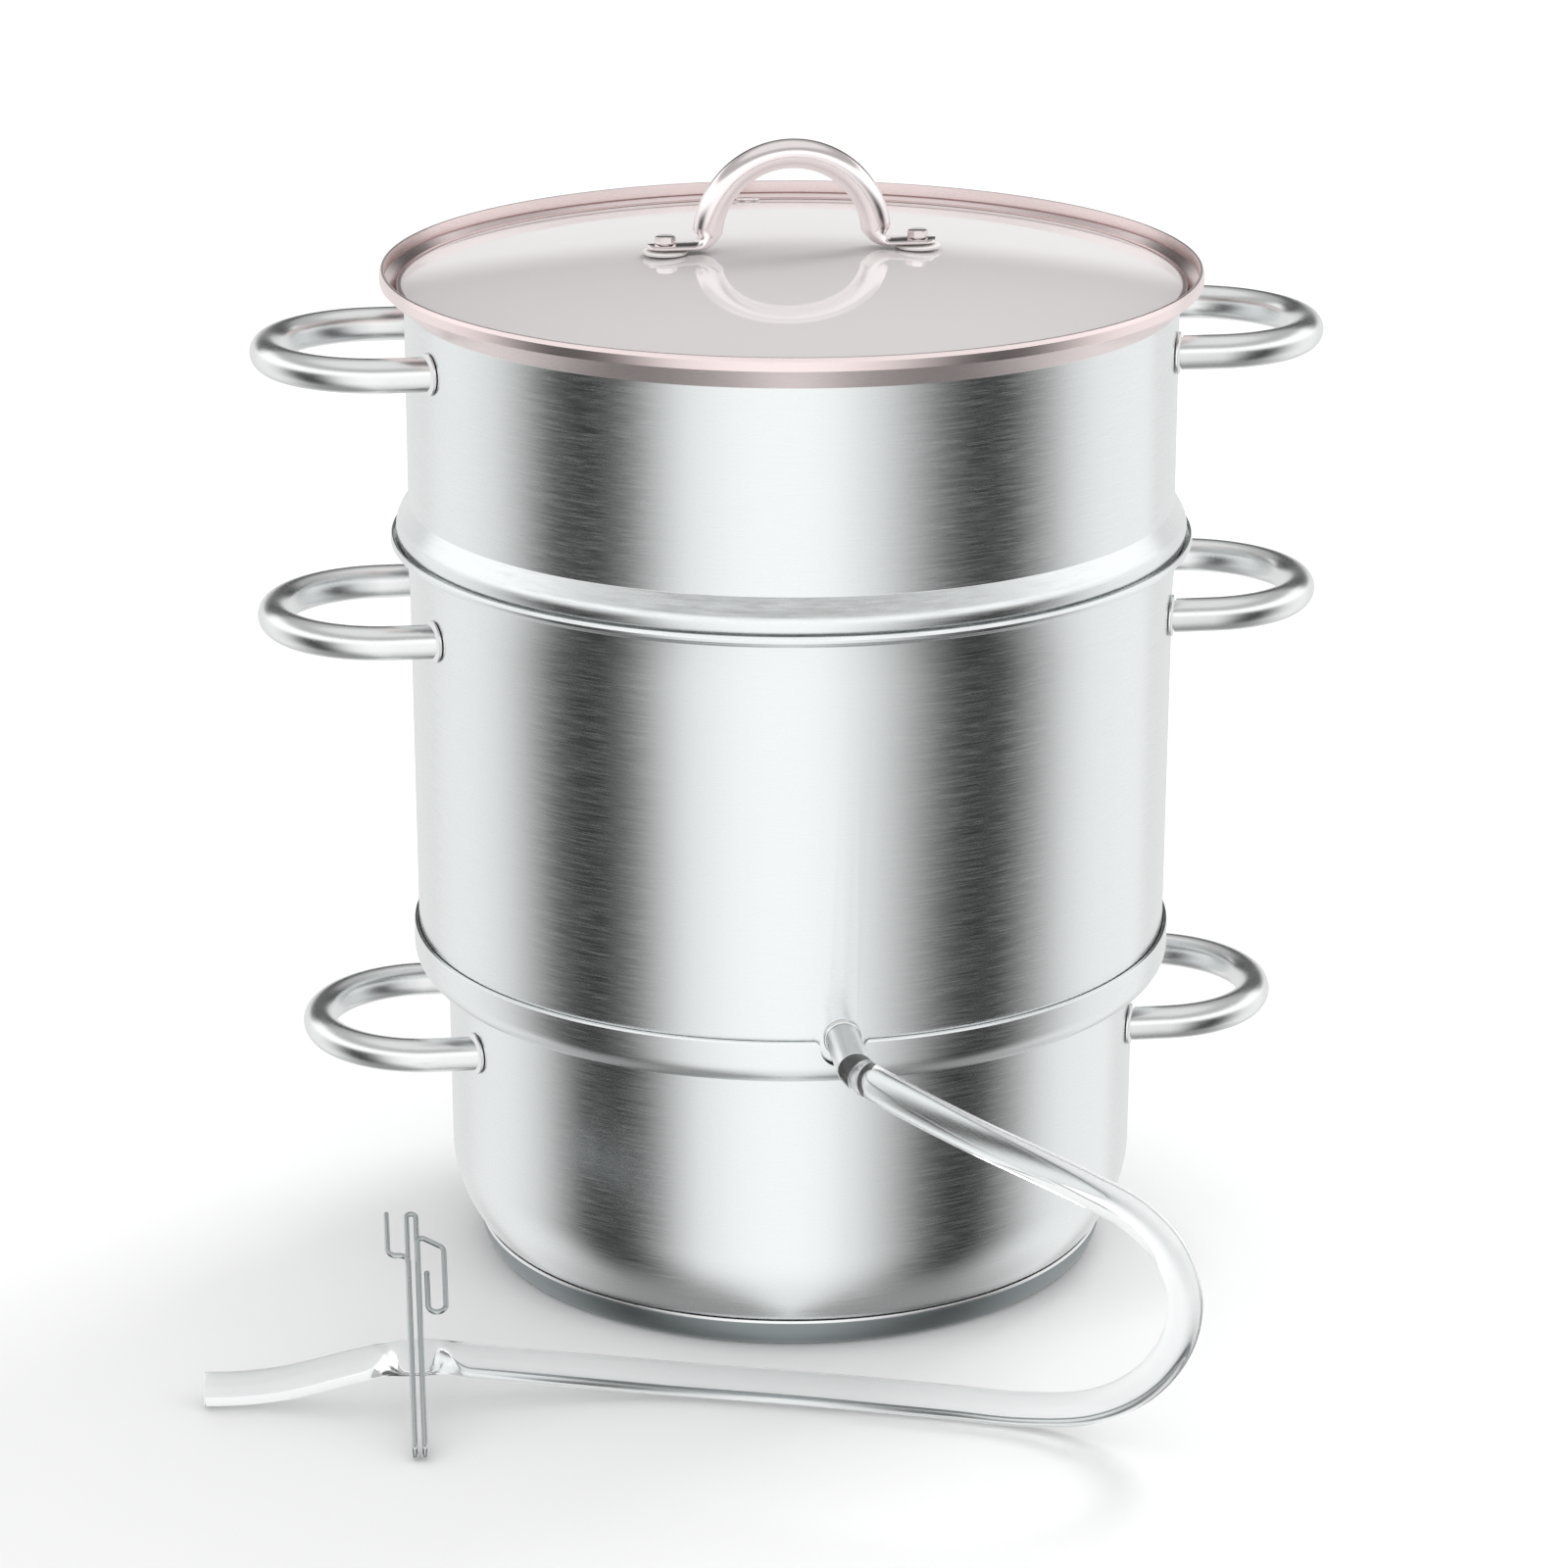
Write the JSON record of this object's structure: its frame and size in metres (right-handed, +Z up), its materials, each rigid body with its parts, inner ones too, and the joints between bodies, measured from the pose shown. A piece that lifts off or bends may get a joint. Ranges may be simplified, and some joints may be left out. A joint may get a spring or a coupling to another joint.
{
  "type": "steam juicer",
  "caption": "Steam juicer of stacked vessels: water pot, juice kettle with spout, clear hose and wire clamp, perforated fruit basket and glass lid, each lifting off the one below.",
  "frame": {"origin": "centre of the base, on the surface that the pot stands on", "axes": "+Z up; the side handles lie along X, and the juice spout points along -Y"},
  "size_m": [0.3923, 0.3599, 0.3895],
  "materials": {
    "sheet_steel": "satin, brushed round the vessel",
    "bright_steel": "polished",
    "base_core": "satin steel cap over the core",
    "lid_glass": "clear, polished",
    "gasket": "matt",
    "hose": "clear, glossy"
  },
  "bodies": {
    "water_pot": {"pot_shell": "sheet_steel", "base_disc": "base_core", "pot_handle_left": "bright_steel", "pot_handle_right": "bright_steel", "pot_pad_left_front": "bright_steel", "pot_pad_left_back": "bright_steel", "pot_pad_right_front": "bright_steel", "pot_pad_right_back": "bright_steel"},
    "juice_kettle": {"kettle_shell": "sheet_steel", "steam_funnel": "sheet_steel", "spout_tube": "bright_steel", "spout_collar": "bright_steel", "kettle_handle_left": "bright_steel", "kettle_handle_right": "bright_steel", "kettle_pad_left_front": "bright_steel", "kettle_pad_left_back": "bright_steel", "kettle_pad_right_front": "bright_steel", "kettle_pad_right_back": "bright_steel", "drain_hose": "hose", "hose_clamp": "bright_steel"},
    "fruit_basket": {"basket_shell": "sheet_steel", "basket_handle_left": "bright_steel", "basket_handle_right": "bright_steel", "basket_pad_left_front": "bright_steel", "basket_pad_left_back": "bright_steel", "basket_pad_right_front": "bright_steel", "basket_pad_right_back": "bright_steel"},
    "lid": {"lid_glass": "lid_glass", "lid_band": "bright_steel", "lid_handle": "bright_steel", "lid_screw_left": "bright_steel", "lid_screw_right": "bright_steel", "lid_gasket_top_left": "gasket", "lid_gasket_top_right": "gasket", "lid_gasket_under_left": "gasket", "lid_gasket_under_right": "gasket", "lid_nut_left": "bright_steel", "lid_nut_right": "bright_steel", "vent_eyelet": "bright_steel"}
  },
  "joints": [
    {"name": "kettle_lift", "type": "slide", "parent": "water_pot", "child": "juice_kettle", "axis": [0, 0, 1], "range_m": [0, 0.12]},
    {"name": "basket_lift", "type": "slide", "parent": "juice_kettle", "child": "fruit_basket", "axis": [0, 0, 1], "range_m": [0, 0.12]},
    {"name": "lid_lift", "type": "slide", "parent": "fruit_basket", "child": "lid", "axis": [0, 0, 1], "range_m": [0, 0.12]}
  ]
}
